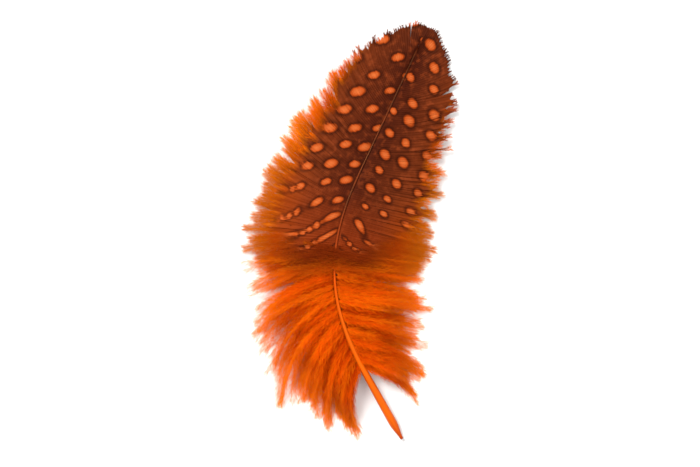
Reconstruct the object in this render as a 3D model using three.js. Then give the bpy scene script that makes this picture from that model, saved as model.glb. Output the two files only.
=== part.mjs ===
// One guinea fowl body feather, lying face up on a flat surface: a curved quill and shaft, two closed
// vanes, two skirts of down, and the small downy afterfeather that grows behind the shaft.
// Millimetres, +Z up, +Y towards the feather's tip. The origin is on the surface, under the shaft.
//
// A place on the feather is given as a station, measured along the shaft from the quill's tip, and a
// reach, measured sideways from the shaft's middle line.
import * as THREE from "three";

// Shaft
const SHAFT_LENGTH = 48.5;
const BARB_START = 9.3; // where the bare quill ends and the first barbs grow
const VANE_START = 22.4; // where the down ends and the closed vane begins
const BASE_ANGLE = 97; // of the barbs there, in degrees from the shaft's tip outwards
const BASE_BEND = 8; // their bend back along the shaft, in degrees
const ORIGIN_STATION = 15; // the shaft's point above the origin
const QUILL_RADIUS = 0.48;
const QUILL_END_RADIUS = 0.18;
const QUILL_POINT = 2.2; // length of the quill's tapered end
const RACHIS_RADIUS = 0.17;
const SHAFT_TIP_RADIUS = 0.06;
const RACHIS_START = 24; // where the quill's thickness has run out into the slender shaft
const SHAFT_SIDES = 10;
const SHAFT_RINGS = 34;

// The shaft's line, seen from above and from the side
const QUILL_HEADING = -29; // degrees from +Y towards +X
const VANE_HEADING = 25;
const TURN_START = 7;
const TURN_END = 34;
const END_LIFT = 0.4; // height of the shaft's two ends above the surface
const ARCH_RISE = 2.2;
const LINE_STEPS = 400;

// Sheets of barbs
const ROOT_GAP = 0.08; // between the shaft and the root of a sheet
const LEAST_THICKNESS = 0.14;
const EDGE_LIFT = 0.1; // height of a sheet's outer edge, at its middle plane
const LINES_PER_LOCK = 4;

// Vane
const VANE_REACH = 10.6; // reach at which the arched vane comes down to the surface
const TIP_MARGIN = 0.3; // length of shaft beyond the last barb
const VANE_SWING = 45; // degrees by which the barbs swing towards the tip, up the vane
const TIP_SWING = 53.5; // the further swing of the last few barbs
const TIP_POWER = 10; // of the place along the vane, which keeps that swing to its very end
const VANE_BEND = -20; // bend of the barbs further up the vane, towards the tip
const FULL_BEND_PLACE = 0.5; // along the vane, from which they have all of it
const VANE_BARB_LENGTH = 8.3;
const LOW_BARB_EXTRA = 1.7; // length that the barbs low on the vane have beyond that
const EXTRA_START = [0, 0.1]; // places along the vane between which that extra length sets in
const EXTRA_END = [0.05, 0.5]; // and between which it runs out
const TIP_SHORTENING = 0.62; // share of its length that the last barb lacks
const SHORTENING_POWER = 5; // of the place along the vane, which keeps that to the barbs near the tip
const VANE_ROOT_THICKNESS = 0.42;
const VANE_EDGE_THICKNESS = 0.2;

// Down
const VANE_GAP = 0.15; // between the last root of the down and the first of the vane
const FIRST_DOWN_LENGTH = 8.4; // of the barbs next to the bare quill
const LAST_DOWN_LENGTH = 9.8; // of those next to the vane
const MIDDLE_DOWN_EXTRA = 2.4; // length that the barbs between them have beyond that
const DOWN_ROOT_THICKNESS = 0.5;
const DOWN_BODY = 1.9; // thickness that the middle of a lock has beyond that
const BODY_POWER = 0.7; // of the share of a barb: below 1, a lock is thickest nearer its root
const SLOPE_POWER = 1.6; // of that share: above 1, the down slopes less near the shaft
const DOWN_PUFF = 1.5; // rise of the down above the line from the shaft to its tips
const PUFF_POWER = 1.3; // above 1, that rise begins and ends softly
const SWEEP_POWER = 1.5; // of the place along the down: above 1, barbs keep their sweep further up
const FLATTER_FROM = 14; // station from which the down lies flatter
const FLATTEST = 0.35; // of its full rise and thickness, where it meets the vane

// Afterfeather
const AFTERFEATHER_SETBACK = 0.6; // of its first root beyond that of the down
const AFTERFEATHER_END = 20; // station of its last root
const AFTERFEATHER_ANGLES = [88, 36]; // of its first and last barbs
const AFTERFEATHER_BENDS = [-6, -18];
const AFTERFEATHER_LENGTH = 5.4;
const AFTERFEATHER_SHORTENING = 1.6; // of its last barbs
const AFTERFEATHER_ROOT_THICKNESS = 0.75;
const AFTERFEATHER_EDGE_THICKNESS = 0.2;

const degrees = THREE.MathUtils.degToRad;
const mix = THREE.MathUtils.lerp;
const smoothstep = THREE.MathUtils.smoothstep; // (value, low, high)

// A repeatable number from 0 to 1 for each seed, so that no two locks are alike.
function jitter(seed) {
  const wave = Math.sin(seed * 12.9898) * 43758.5453;
  return wave - Math.floor(wave);
}

// Shaft line: its heading is summed along its length, so it can be read at any station.
function heading(station) {
  return degrees(mix(QUILL_HEADING, VANE_HEADING, smoothstep(station, TURN_START, TURN_END)));
}

const linePoints = [new THREE.Vector2(0, 0)];
const lineStep = SHAFT_LENGTH / LINE_STEPS;
for (let i = 0; i < LINE_STEPS; i++) {
  const turn = heading((i + 0.5) * lineStep);
  const last = linePoints[i];
  linePoints.push(new THREE.Vector2(last.x + lineStep * Math.sin(turn), last.y + lineStep * Math.cos(turn)));
}

function lineAt(station) {
  const index = THREE.MathUtils.clamp(Math.floor(station / lineStep), 0, LINE_STEPS - 1);
  const past = station - index * lineStep;
  const turn = heading(station);
  const ahead = new THREE.Vector2(Math.sin(turn), Math.cos(turn));
  return linePoints[index].clone().addScaledVector(ahead, past);
}

const origin = lineAt(ORIGIN_STATION);

function lift(station) {
  const along = THREE.MathUtils.clamp(station / SHAFT_LENGTH, 0, 1);
  return END_LIFT + ARCH_RISE * Math.sin(Math.PI * along);
}

function shaftRadius(station) {
  const slender = mix(RACHIS_RADIUS, SHAFT_TIP_RADIUS, Math.min(station / SHAFT_LENGTH, 1));
  const stout = (QUILL_RADIUS - RACHIS_RADIUS) * (1 - smoothstep(station, QUILL_POINT, RACHIS_START));
  const point = mix(QUILL_END_RADIUS / QUILL_RADIUS, 1, smoothstep(station, 0, QUILL_POINT));
  return (slender + stout) * point;
}

// The point at a station, a signed reach to the right of the shaft, and a height above the surface.
function place(station, reach, height) {
  const turn = heading(station);
  const middle = lineAt(station).sub(origin);
  return new THREE.Vector3(
    middle.x + reach * Math.cos(turn),
    middle.y - reach * Math.sin(turn),
    height,
  );
}

// Closed solid from a list of rows of points. Each row is a closed ring, and flat fans close both ends.
function ringSolid(rings) {
  const sides = rings[0].length;
  const faces = [];
  for (let i = 0; i + 1 < rings.length; i++) {
    for (let k = 0; k < sides; k++) {
      const [a, b] = [i * sides + k, i * sides + ((k + 1) % sides)];
      faces.push(a, b, b + sides, a, b + sides, a + sides);
    }
  }
  const lastRing = (rings.length - 1) * sides;
  for (let k = 1; k + 1 < sides; k++) {
    faces.push(0, k + 1, k, lastRing, lastRing + k, lastRing + k + 1);
  }
  return solidFrom(rings.flat(), faces);
}

function solidFrom(points, faces) {
  const geometry = new THREE.BufferGeometry().setFromPoints(points);
  geometry.setIndex(faces);
  geometry.computeVertexNormals();
  return geometry;
}

function shaft() {
  const rings = [];
  for (let i = 0; i <= SHAFT_RINGS; i++) {
    const station = (SHAFT_LENGTH * i) / SHAFT_RINGS;
    const radius = shaftRadius(station);
    const ring = [];
    for (let k = 0; k < SHAFT_SIDES; k++) {
      const around = (-2 * Math.PI * k) / SHAFT_SIDES;
      ring.push(place(station, radius * Math.cos(around), lift(station) + radius * Math.sin(around)));
    }
    rings.push(ring);
  }
  return ringSolid(rings);
}

// Sheets of barbs. A sheet is a row of locks that grow from the shaft between two stations. Along it runs
// a lock number, whose whole part is the lock and whose fraction is the place across that lock.

// Root, direction and length of the barb at a lock number. Angles turn from the shaft's tip outwards.
function barb(sheet, lockNumber) {
  const along = lockNumber / sheet.locks;
  const lock = Math.min(Math.floor(lockNumber), sheet.locks - 1);
  const across = Math.sin(Math.PI * (lockNumber - lock)); // 0 between two locks, 1 in the middle of one
  const longer = across * sheet.unevenness * (2 * jitter(sheet.seed + lock) - 1);
  const turned = across * sheet.disorder * (2 * jitter(sheet.seed - lock) - 1);
  const trim = (1 + longer) * (1 - sheet.notch * (1 - across)); // a shorter barb ends earlier on its arc
  return {
    root: mix(sheet.rootFrom, sheet.rootTo, along),
    angle: degrees(sheet.angle(along)),
    bend: degrees(sheet.bend(along) + turned) * trim,
    length: sheet.length(along) * trim,
    across,
  };
}

// Station and reach of the point at a share of a barb's length. A barb is an arc of a circle.
function barbPoint(line, share) {
  const half = (line.bend * share) / 2;
  const chord = line.length * share * (Math.abs(half) > 1e-6 ? Math.sin(half) / half : 1);
  return {
    station: line.root + chord * Math.cos(line.angle + half),
    reach: shaftRadius(line.root) + ROOT_GAP + chord * Math.sin(line.angle + half),
  };
}

// The barbs of a lock lean towards its middle barb, more so towards their tips.
function lockPoint(sheet, lockNumber, share) {
  const lock = Math.min(Math.floor(lockNumber), sheet.locks - 1);
  const line = barb(sheet, lockNumber);
  const own = barbPoint(line, share);
  const middle = barbPoint(barb(sheet, lock + 0.5), share);
  const lean = sheet.lean * share * share * line.across;
  return {
    station: mix(own.station, middle.station, lean),
    reach: mix(own.reach, middle.reach, lean),
    across: line.across,
  };
}

// Top and bottom points of a sheet at a lock number and a share of the barb's length.
function sheetPoints(sheet, side, lockNumber, share) {
  const { station, reach, across } = lockPoint(sheet, lockNumber, share);
  const thickness = Math.max(sheet.thickness(share, station) * mix(sheet.furrow, 1, across), LEAST_THICKNESS);
  const bottom = Math.max(sheet.height(station, reach, share) - thickness / 2, 0);
  return {
    top: place(station, side * reach, bottom + thickness),
    bottom: place(station, side * reach, bottom),
  };
}

// Closed solid between a grid of top points and the grid of bottom points under it. Each cell is split
// along its shorter diagonal, so that the long, slanting cells between two locks don't fold over.
function slabSolid(rows) {
  const columns = rows[0].length;
  const points = [...rows.flat().map((p) => p.top), ...rows.flat().map((p) => p.bottom)];
  const under = rows.length * columns;
  const at = (i, j) => i * columns + j;
  const faces = [];
  const quad = (a, b, c, d) => faces.push(a, b, c, a, c, d);
  for (let i = 0; i + 1 < rows.length; i++) {
    for (let j = 0; j + 1 < columns; j++) {
      let [a, b, c, d] = [at(i, j), at(i, j + 1), at(i + 1, j + 1), at(i + 1, j)];
      if (points[b].distanceTo(points[d]) < points[a].distanceTo(points[c])) {
        [a, b, c, d] = [b, c, d, a];
      }
      quad(a, b, c, d);
      quad(under + c, under + b, under + a, under + d);
    }
  }
  const rim = [];
  for (let j = 0; j + 1 < columns; j++) rim.push(at(0, j));
  for (let i = 0; i + 1 < rows.length; i++) rim.push(at(i, columns - 1));
  for (let j = columns - 1; j > 0; j--) rim.push(at(rows.length - 1, j));
  for (let i = rows.length - 1; i > 0; i--) rim.push(at(i, 0));
  rim.forEach((a, k) => {
    const b = rim[(k + 1) % rim.length];
    quad(b, a, under + a, under + b);
  });
  return solidFrom(points, faces);
}

function lockNumbers(sheet) {
  const count = sheet.locks * LINES_PER_LOCK;
  return Array.from({ length: count + 1 }, (_, i) => i / LINES_PER_LOCK);
}

function shares(steps) {
  return Array.from({ length: steps + 1 }, (_, j) => j / steps);
}

// A sheet on one side of the shaft: 1 is the right side and -1 the left, seen from above.
function sideSheet(sheet, side) {
  const rows = lockNumbers(sheet).map((number) =>
    shares(sheet.steps).map((share) => sheetPoints(sheet, side, number, share)),
  );
  return slabSolid(side < 0 ? rows.reverse() : rows);
}

// A sheet that runs from its left edge to its right edge, under the shaft.
function doubleSheet(sheet) {
  const rows = lockNumbers(sheet).map((number) => {
    const left = shares(sheet.steps).map((share) => sheetPoints(sheet, -1, number, share));
    const right = shares(sheet.steps).map((share) => sheetPoints(sheet, 1, number, share));
    return [...left.reverse(), ...right];
  });
  return slabSolid(rows);
}

// Each sheet below gives its first and last root, and for its locks: how much their lengths and their bends
// differ, how deep the notches between them are, how far their barbs lean together, and how thin the sheet is
// between two of them. Angle, bend and length depend on the place along the sheet, from 0 to 1.

// Vane: flat closed barbs that swing towards the tip, with shallow splits along the edge.
const vane = {
  rootFrom: VANE_START,
  rootTo: SHAFT_LENGTH - TIP_MARGIN,
  locks: 15,
  steps: 5,
  seed: 11,
  unevenness: 0.06,
  disorder: 5,
  notch: 0.09,
  lean: 0.35,
  furrow: 0.8,
  angle: (along) => BASE_ANGLE - VANE_SWING * along - TIP_SWING * along ** TIP_POWER,
  bend: (along) =>
    mix(BASE_BEND, VANE_BEND, Math.min(along / FULL_BEND_PLACE, 1)) * (1 - along ** TIP_POWER),
  length: (along) => {
    const low = smoothstep(along, ...EXTRA_START) * (1 - smoothstep(along, ...EXTRA_END));
    return (VANE_BARB_LENGTH + LOW_BARB_EXTRA * low) * (1 - TIP_SHORTENING * along ** SHORTENING_POWER);
  },
  thickness: (share) => mix(VANE_ROOT_THICKNESS, VANE_EDGE_THICKNESS, share),
  height: (station, reach) => mix(lift(station), EDGE_LIFT, Math.min(reach / VANE_REACH, 1) ** 2),
};

// Down: thick, deeply parted locks that swing back along the quill and lie flatter towards the vane.
function fullness(station) {
  return mix(1, FLATTEST, smoothstep(station, FLATTER_FROM, VANE_START));
}

// rootAngle and sweep are the angle and the bend of the barbs next to the bare quill, in degrees.
function down({ seed, locks, rootAngle, sweep }) {
  return {
    rootFrom: BARB_START,
    rootTo: VANE_START - VANE_GAP,
    locks,
    steps: 7,
    seed,
    unevenness: 0.16,
    disorder: 7,
    notch: 0.3,
    lean: 0.45,
    furrow: 0.4,
    angle: (along) => mix(rootAngle, BASE_ANGLE, along),
    bend: (along) => mix(sweep, BASE_BEND, along ** SWEEP_POWER),
    length: (along) =>
      mix(FIRST_DOWN_LENGTH, LAST_DOWN_LENGTH, along) + MIDDLE_DOWN_EXTRA * Math.sin(Math.PI * along),
    thickness: (share, station) =>
      DOWN_ROOT_THICKNESS + DOWN_BODY * fullness(station) * Math.sin(Math.PI * share ** BODY_POWER),
    height: (station, reach, share) =>
      mix(lift(station), EDGE_LIFT, share ** SLOPE_POWER) +
      DOWN_PUFF * fullness(station) * Math.sin(Math.PI * share) ** PUFF_POWER,
  };
}

const leftDown = down({ seed: 31, locks: 10, rootAngle: 124, sweep: 52 });
const rightDown = down({ seed: 47, locks: 8, rootAngle: 136, sweep: 44 });

// Afterfeather: a short downy plume that lies flat on the surface, under the shaft.
const afterfeather = {
  rootFrom: BARB_START + AFTERFEATHER_SETBACK,
  rootTo: AFTERFEATHER_END,
  locks: 6,
  steps: 5,
  seed: 71,
  unevenness: 0.12,
  disorder: 8,
  notch: 0.3,
  lean: 0.4,
  furrow: 0.6,
  angle: (along) => mix(...AFTERFEATHER_ANGLES, along),
  bend: (along) => mix(...AFTERFEATHER_BENDS, along),
  length: (along) => AFTERFEATHER_LENGTH - AFTERFEATHER_SHORTENING * along ** 2,
  thickness: (share) => mix(AFTERFEATHER_ROOT_THICKNESS, AFTERFEATHER_EDGE_THICKNESS, share),
  height: () => 0,
};

function finish(colour, roughness) {
  return new THREE.MeshStandardMaterial({ color: colour, roughness, metalness: 0 });
}

const quillOrange = finish("#f8741a", 0.35);
const vaneBrown = finish("#67301b", 0.7);
const downOrange = finish("#e4600f", 0.9);

const feather = new THREE.Group();
function add(name, geometry, material) {
  const mesh = new THREE.Mesh(geometry, material);
  mesh.name = name;
  feather.add(mesh);
}

add("shaft", shaft(), quillOrange);
add("vane_left", sideSheet(vane, -1), vaneBrown);
add("vane_right", sideSheet(vane, 1), vaneBrown);
add("down_left", sideSheet(leftDown, -1), downOrange);
add("down_right", sideSheet(rightDown, 1), downOrange);
add("afterfeather", doubleSheet(afterfeather), downOrange);

export default feather;
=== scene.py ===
# One dyed guinea fowl body feather, lying face up on a pale table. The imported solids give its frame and
# its sizes. Each piece here stands in the place of one of them: the shaft, the two closed vanes, the two
# skirts of down, and the small afterfeather beneath.
from functools import partial
from types import SimpleNamespace

import bpy
import numpy as np
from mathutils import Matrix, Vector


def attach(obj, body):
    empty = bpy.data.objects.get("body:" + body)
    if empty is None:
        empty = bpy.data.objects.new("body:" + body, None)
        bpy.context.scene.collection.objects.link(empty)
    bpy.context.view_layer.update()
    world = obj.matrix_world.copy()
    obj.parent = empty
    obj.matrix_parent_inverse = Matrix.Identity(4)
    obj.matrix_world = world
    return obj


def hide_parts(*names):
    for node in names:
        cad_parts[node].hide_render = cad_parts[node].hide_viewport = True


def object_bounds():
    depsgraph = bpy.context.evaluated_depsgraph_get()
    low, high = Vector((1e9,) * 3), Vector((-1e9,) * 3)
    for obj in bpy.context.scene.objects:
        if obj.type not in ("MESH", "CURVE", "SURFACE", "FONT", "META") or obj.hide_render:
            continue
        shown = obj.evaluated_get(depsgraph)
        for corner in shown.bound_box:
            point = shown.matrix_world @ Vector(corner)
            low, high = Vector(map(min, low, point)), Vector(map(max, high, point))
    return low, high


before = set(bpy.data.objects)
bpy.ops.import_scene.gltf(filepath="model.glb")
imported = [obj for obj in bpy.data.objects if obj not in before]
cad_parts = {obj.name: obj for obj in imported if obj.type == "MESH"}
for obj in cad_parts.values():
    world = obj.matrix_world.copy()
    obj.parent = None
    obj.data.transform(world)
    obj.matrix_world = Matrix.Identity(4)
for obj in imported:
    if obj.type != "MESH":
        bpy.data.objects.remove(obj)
cad_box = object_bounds()

MM = 0.001  # sizes below are in millimetres, and meshes in metres

# Shaft. A place on the feather is given as a station, measured along the shaft from the quill's tip, and a
# reach, measured sideways from the shaft's middle line. The measures are those of the solids.
SHAFT_LENGTH = 48.5
BARB_START = 9.3  # where the bare quill ends and the first barbs grow
VANE_START = 22.4  # where the down ends and the closed vane begins
BASE_ANGLE = 97  # of the barbs there, in degrees from the shaft's tip outwards
BASE_BEND = 8  # their bend back along the shaft, in degrees
ORIGIN_STATION = 15  # the shaft's point above the origin
QUILL_RADIUS = 0.48
QUILL_END_RADIUS = 0.18
QUILL_POINT = 2.2  # length of the quill's tapered end
RACHIS_RADIUS = 0.17
SHAFT_TIP_RADIUS = 0.06
RACHIS_START = 24  # where the quill's thickness has run out into the slender shaft
QUILL_HEADING = -29  # degrees from +Y towards +X
VANE_HEADING = 25
TURN_START = 7
TURN_END = 34
END_LIFT = 0.4  # height of the shaft's two ends above the table
ARCH_RISE = 2.2
LINE_STEPS = 400


def mix(start, end, share):
    return start + (end - start) * share


def smoothstep(value, low, high):
    share = np.clip((value - low) / (high - low), 0, 1)
    return share * share * (3 - 2 * share)


def jitter(seed):
    """A repeatable number from 0 to 1 for each seed. The factors in the seeds keep one draw from the next."""
    wave = np.sin(np.asarray(seed, float) * 12.9898) * 43758.5453
    return wave - np.floor(wave)


def either_way(seed):
    """A repeatable number from -1 to 1 for each seed."""
    return 2 * jitter(seed) - 1


# The shaft's line: its heading is summed along its length, so it can be read at any station.
def heading(station):
    return np.radians(mix(QUILL_HEADING, VANE_HEADING, smoothstep(station, TURN_START, TURN_END)))


LINE_STEP = SHAFT_LENGTH / LINE_STEPS
STEP_HEADINGS = heading((np.arange(LINE_STEPS) + 0.5) * LINE_STEP)
LINE_X = LINE_STEP * np.concatenate([[0], np.cumsum(np.sin(STEP_HEADINGS))])
LINE_Y = LINE_STEP * np.concatenate([[0], np.cumsum(np.cos(STEP_HEADINGS))])


def line_at(station):
    index = np.clip(np.floor(station / LINE_STEP), 0, LINE_STEPS - 1).astype(int)
    past = station - index * LINE_STEP
    turn = heading(station)
    return LINE_X[index] + past * np.sin(turn), LINE_Y[index] + past * np.cos(turn)


ORIGIN_X, ORIGIN_Y = line_at(np.float64(ORIGIN_STATION))


def place(station, reach, height):
    """Points from stations, signed reaches to the right of the shaft, and heights above the table."""
    turn = heading(station)
    x, y = line_at(station)
    right = x - ORIGIN_X + reach * np.cos(turn)
    ahead = y - ORIGIN_Y - reach * np.sin(turn)
    return np.stack([right, ahead, height], axis=-1)


def lift(station):
    return END_LIFT + ARCH_RISE * np.sin(np.pi * np.clip(station / SHAFT_LENGTH, 0, 1))


def shaft_radius(station):
    slender = mix(RACHIS_RADIUS, SHAFT_TIP_RADIUS, np.minimum(station / SHAFT_LENGTH, 1))
    stout = (QUILL_RADIUS - RACHIS_RADIUS) * (1 - smoothstep(station, QUILL_POINT, RACHIS_START))
    point = mix(QUILL_END_RADIUS / QUILL_RADIUS, 1, smoothstep(station, 0, QUILL_POINT))
    return (slender + stout) * point


# Sheets of barbs. A sheet is a row of locks that grow from the shaft. A lock number runs along it: its whole
# part is the lock, and its fraction the place across that lock. Each sheet gives its first and last root, and
# for its locks how much their lengths and bends differ, how deep the notches between them are, and how thin
# the sheet is there. Angle, bend and length depend on the place along the sheet, from 0 to 1.
EDGE_LIFT = 0.1  # height of a sheet's outer edge, at its middle plane
LEAST_THICKNESS = 0.14

VANE_REACH = 10.6  # reach at which the arched vane comes down to the table
TIP_MARGIN = 0.3  # length of shaft beyond the last barb
VANE_SWING = 45  # degrees by which the barbs swing towards the tip, up the vane
TIP_SWING = 53.5  # the further swing of the last few barbs
TIP_POWER = 10  # of the place along the vane, which keeps that swing to its very end
VANE_BEND = -20  # bend of the barbs further up the vane, towards the tip
FULL_BEND_PLACE = 0.5  # along the vane, from which they have all of it
VANE_BARB_LENGTH = 8.3
LOW_BARB_EXTRA = 1.7  # length that the barbs low on the vane have beyond that
EXTRA_START = (0, 0.1)  # places along the vane between which that extra length sets in
EXTRA_END = (0.05, 0.5)  # and between which it runs out
TIP_SHORTENING = 0.62  # share of its length that the last barb lacks
SHORTENING_POWER = 5  # of the place along the vane, which keeps that to the barbs near the tip
VANE_ROOT_THICKNESS = 0.42
VANE_EDGE_THICKNESS = 0.2


def vane_length(along):
    low = smoothstep(along, *EXTRA_START) * (1 - smoothstep(along, *EXTRA_END))
    return (VANE_BARB_LENGTH + LOW_BARB_EXTRA * low) * (1 - TIP_SHORTENING * along**SHORTENING_POWER)


def vane_bend(along):
    full = mix(BASE_BEND, VANE_BEND, np.minimum(along / FULL_BEND_PLACE, 1))
    return full * (1 - along**TIP_POWER)


def vane_height(station, reach, share):
    return mix(lift(station), EDGE_LIFT, np.minimum(reach / VANE_REACH, 1) ** 2)


VANE = SimpleNamespace(
    root_from=VANE_START,
    root_to=SHAFT_LENGTH - TIP_MARGIN,
    locks=15,
    seed=11,
    unevenness=0.06,
    disorder=5,
    notch=0.09,
    furrow=0.8,
    angle=lambda along: BASE_ANGLE - VANE_SWING * along - TIP_SWING * along**TIP_POWER,
    bend=vane_bend,
    length=vane_length,
    thickness=lambda share, station: mix(VANE_ROOT_THICKNESS, VANE_EDGE_THICKNESS, share),
    height=vane_height,
)

VANE_GAP = 0.15  # between the last root of the down and the first of the vane
FIRST_DOWN_LENGTH = 8.4  # of the barbs next to the bare quill
LAST_DOWN_LENGTH = 9.8  # of those next to the vane
MIDDLE_DOWN_EXTRA = 2.4  # length that the barbs between them have beyond that
DOWN_ROOT_THICKNESS = 0.5
DOWN_BODY = 1.9  # thickness that the middle of a lock has beyond that
BODY_POWER = 0.7  # of the share of a barb: below 1, a lock is thickest nearer its root
SLOPE_POWER = 1.6  # of that share: above 1, the down slopes less near the shaft
DOWN_PUFF = 1.5  # rise of the down above the line from the shaft to its tips
PUFF_POWER = 1.3  # above 1, that rise begins and ends softly
SWEEP_POWER = 1.5  # of the place along the down: above 1, barbs keep their sweep further up
FLATTER_FROM = 14  # station from which the down lies flatter
FLATTEST = 0.35  # of its full rise and thickness, where it meets the vane


def fullness(station):
    return mix(1, FLATTEST, smoothstep(station, FLATTER_FROM, VANE_START))


def hump(share):
    """Rises from 0 at a barb's root and falls back to 0 at its tip."""
    return np.maximum(np.sin(np.pi * share), 0)


def down_length(along):
    return mix(FIRST_DOWN_LENGTH, LAST_DOWN_LENGTH, along) + MIDDLE_DOWN_EXTRA * np.sin(np.pi * along)


def down_thickness(share, station):
    return DOWN_ROOT_THICKNESS + DOWN_BODY * fullness(station) * hump(share**BODY_POWER)


def down_height(station, reach, share):
    slope = mix(lift(station), EDGE_LIFT, share**SLOPE_POWER)
    return slope + DOWN_PUFF * fullness(station) * hump(share) ** PUFF_POWER


def down_sheet(seed, locks, root_angle, sweep):
    """root_angle and sweep are the angle and the bend of the barbs next to the bare quill, in degrees."""
    return SimpleNamespace(
        root_from=BARB_START,
        root_to=VANE_START - VANE_GAP,
        locks=locks,
        seed=seed,
        unevenness=0.16,
        disorder=7,
        notch=0.3,
        furrow=0.4,
        angle=lambda along: mix(root_angle, BASE_ANGLE, along),
        bend=lambda along: mix(sweep, BASE_BEND, along**SWEEP_POWER),
        length=down_length,
        thickness=down_thickness,
        height=down_height,
    )


LEFT_DOWN = down_sheet(seed=31, locks=10, root_angle=124, sweep=52)
RIGHT_DOWN = down_sheet(seed=47, locks=8, root_angle=136, sweep=44)

AFTERFEATHER_SETBACK = 0.6  # of its first root beyond that of the down
AFTERFEATHER_END = 20  # station of its last root
AFTERFEATHER_ANGLES = (88, 36)  # of its first and last barbs
AFTERFEATHER_BENDS = (-6, -18)
AFTERFEATHER_LENGTH = 5.4
AFTERFEATHER_SHORTENING = 1.6  # of its last barbs
AFTERFEATHER_ROOT_THICKNESS = 0.75
AFTERFEATHER_EDGE_THICKNESS = 0.2
AFTERFEATHER = SimpleNamespace(
    root_from=BARB_START + AFTERFEATHER_SETBACK,
    root_to=AFTERFEATHER_END,
    locks=6,
    seed=71,
    unevenness=0.12,
    disorder=8,
    notch=0.3,
    furrow=0.6,
    angle=lambda along: mix(*AFTERFEATHER_ANGLES, along),
    bend=lambda along: mix(*AFTERFEATHER_BENDS, along),
    length=lambda along: AFTERFEATHER_LENGTH - AFTERFEATHER_SHORTENING * along**2,
    thickness=lambda share, station: mix(AFTERFEATHER_ROOT_THICKNESS, AFTERFEATHER_EDGE_THICKNESS, share),
    height=lambda station, reach, share: 0 * station,
)

ROOT_SINK = 0.7  # a barb's root lies this share of the shaft's radius from its middle, inside it


def barb_lines(sheet, number, share, own_turn=0, own_length=1):
    """Stations and reaches along barbs, one row a barb. number has one value a barb, share one a step."""
    along = number / sheet.locks
    lock = np.floor(number)
    across = np.sin(np.pi * (number - lock))
    longer = across * sheet.unevenness * either_way(sheet.seed + lock)
    turned = across * sheet.disorder * either_way(sheet.seed - lock) + own_turn
    trim = (1 + longer) * (1 - sheet.notch * (1 - across)) * own_length
    root = mix(sheet.root_from, sheet.root_to, along)[:, None]
    angle = np.radians(sheet.angle(along))[:, None]
    half = (np.radians(sheet.bend(along) + turned) * trim)[:, None] * share / 2
    chord = (sheet.length(along) * trim)[:, None] * share * np.sinc(half / np.pi)
    station = root + chord * np.cos(angle + half)
    reach = ROOT_SINK * shaft_radius(root) + chord * np.sin(angle + half)
    return np.stack([station, reach])


def sheet_layer(sheet, number, station, reach, share, level):
    """Heights inside a sheet's solid: level 0 is its underside and 1 its upper side."""
    across = np.sin(np.pi * (number - np.floor(number)))[:, None]
    full = sheet.thickness(share, station) * mix(sheet.furrow, 1, across)
    thickness = np.maximum(full, LEAST_THICKNESS)
    bottom = np.maximum(sheet.height(station, reach, share) - thickness / 2, 0)
    return bottom + thickness * level


# Meshes. A part has points, triangles, values by name for each point, and places on the bake's map.
UP = np.array([0, 0, 1.0])


def unit(vectors):
    return vectors / np.maximum(np.linalg.norm(vectors, axis=-1, keepdims=True), 1e-9)


def joined(parts):
    """One part from several."""
    offset = 0
    triangles = []
    for part in parts:
        triangles.append(part.triangles + offset)
        offset += len(part.points)
    names = parts[0].values.keys()
    return SimpleNamespace(
        points=np.concatenate([part.points for part in parts]),
        triangles=np.concatenate(triangles),
        values={name: np.concatenate([part.values[name] for part in parts]) for name in names},
        uv=np.concatenate([part.uv for part in parts]),
    )


def tube(rings, values, uv):
    """Closed strands from rings of points, as an array of strand, step, corner and coordinate."""
    strands, steps, corners = rings.shape[:3]
    number = np.arange(strands * steps * corners).reshape(strands, steps, corners)
    here, there = number[:, :-1], number[:, 1:]
    here_next, there_next = np.roll(here, -1, axis=2), np.roll(there, -1, axis=2)
    sides = [np.stack([here, here_next, there_next], -1), np.stack([here, there_next, there], -1)]
    caps = []
    for k in range(1, corners - 1):
        caps.append(np.stack([number[:, 0, 0], number[:, 0, k + 1], number[:, 0, k]], -1))
        caps.append(np.stack([number[:, -1, 0], number[:, -1, k], number[:, -1, k + 1]], -1))
    return SimpleNamespace(
        points=rings.reshape(-1, 3),
        triangles=np.concatenate([faces.reshape(-1, 3) for faces in sides + caps]),
        values={name: np.broadcast_to(value, number.shape).ravel() for name, value in values.items()},
        uv=uv.reshape(-1, 2),
    )


def spread_along(counts, start, seed):
    """Places along barbs: each place's barb, and its share of that barb's length."""
    rank = np.repeat(np.arange(len(counts)), counts)
    order = np.arange(len(rank)) - np.repeat(np.cumsum(counts) - counts, counts)
    chance = jitter(seed + 17.3 * rank + 1.37 * order)
    return rank, mix(start[rank], 1, (order + chance) / counts[rank])


CURL = 0.35  # a barbule's outer half keeps this share of the angle at which it leaves its barb
BARBULE_FACES = ((0, 2, 1), (1, 2, 3))  # of its root, its two corners at the bend, and its tip


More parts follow.
